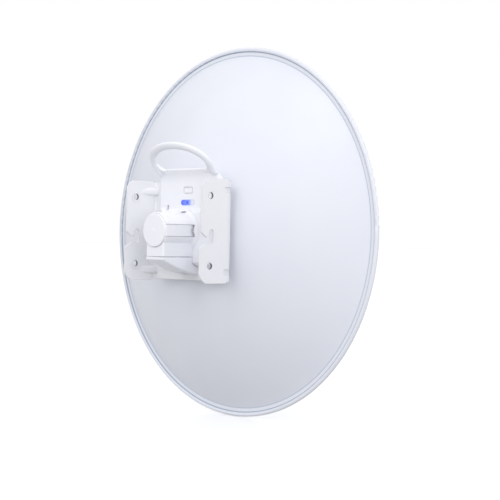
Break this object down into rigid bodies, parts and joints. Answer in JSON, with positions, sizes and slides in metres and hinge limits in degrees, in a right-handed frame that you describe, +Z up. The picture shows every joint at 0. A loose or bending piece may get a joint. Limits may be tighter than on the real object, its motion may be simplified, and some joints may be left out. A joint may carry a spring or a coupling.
{
  "type": "outdoor wireless bridge",
  "caption": "Dish radio for point-to-point links: white parabolic reflector, plug-in feed, folded pole bracket with hooks, and a rear housing with handle, release button and port cover.",
  "frame": {"origin": "midpoint of the four bolt holes in the two bracket wings, on the dish axis", "axes": "+X across the bracket towards the left wing seen from the front, +Y backwards along the dish axis towards the pole, +Z up"},
  "size_m": [0.42, 0.2079, 0.42],
  "materials": {
    "dish_paint": "semi-matte powder coat",
    "bracket_paint": "fine-textured powder coat",
    "housing_plastic": "fine satin texture",
    "button_plastic": "smooth satin",
    "feed_plastic": "satin",
    "window_clear": "clear, faintly frosted",
    "acrylic": "clear acrylic",
    "led_lens": "clear epoxy",
    "dielectric": "translucent polystyrene",
    "insulator": "natural fluoropolymer",
    "steel": "stainless",
    "spring_steel": "polished spring steel",
    "tin_plate": "tin plated",
    "aluminium": "as machined",
    "brass": "turned",
    "gold_contacts": "gold flashed",
    "circuit_board": "solder mask",
    "chip_black": "moulded epoxy",
    "dark_plastic": "satin",
    "rubber_black": "moulded"
  },
  "bodies": {
    "dish": {"dish_reflector": "dish_paint", "bracket_base": "bracket_paint", "left_wing": "bracket_paint", "right_wing": "bracket_paint", "mount_screws": "steel", "rear_housing": "housing_plastic", "led_window": "window_clear", "light_guide": "acrylic", "latch_clip": "spring_steel", "button_spring": "spring_steel"},
    "release_button": {"release_button": "button_plastic"},
    "port_cover": {"port_cover": "housing_plastic"},
    "feed": {"feed_tube": "feed_plastic", "feed_head": "feed_plastic", "feed_cap": "feed_plastic", "splash_plate": "aluminium", "dielectric_cone": "dielectric", "waveguide": "aluminium", "antenna_pins": "brass", "probe_collars": "insulator", "radio_board": "circuit_board", "board_screws": "steel", "heat_spreader": "aluminium", "rf_shield": "tin_plate", "radio_chips": "chip_black", "feed_tail": "feed_plastic", "tail_o_ring": "rubber_black", "collar_gasket": "rubber_black", "tail_board": "circuit_board", "status_leds": "led_lens", "ethernet_jack": "tin_plate", "jack_insert": "chip_black", "jack_contacts": "gold_contacts", "reset_switch": "chip_black"},
    "reset_button": {"reset_button": "dark_plastic"}
  },
  "joints": [
    {"name": "release_push", "type": "slide", "parent": "dish", "child": "release_button", "axis": [0, -1, 0], "range_m": [0, 0.004], "stiffness_N_per_m": 500, "springref_m": -0.002, "deforming": ["button_spring"]},
    {"name": "port_cover_slide", "type": "slide", "parent": "dish", "child": "port_cover", "axis": [0, 0, -1], "range_m": [0, 0.045]},
    {"name": "feed_unplug", "type": "slide", "parent": "dish", "child": "feed", "axis": [0, -1, 0], "range_m": [0, 0.14]},
    {"name": "reset_press", "type": "slide", "parent": "feed", "child": "reset_button", "axis": [0, 0, 1], "range_m": [0, 0.0004], "stiffness_N_per_m": 3000, "springref_m": -0.0002}
  ]
}
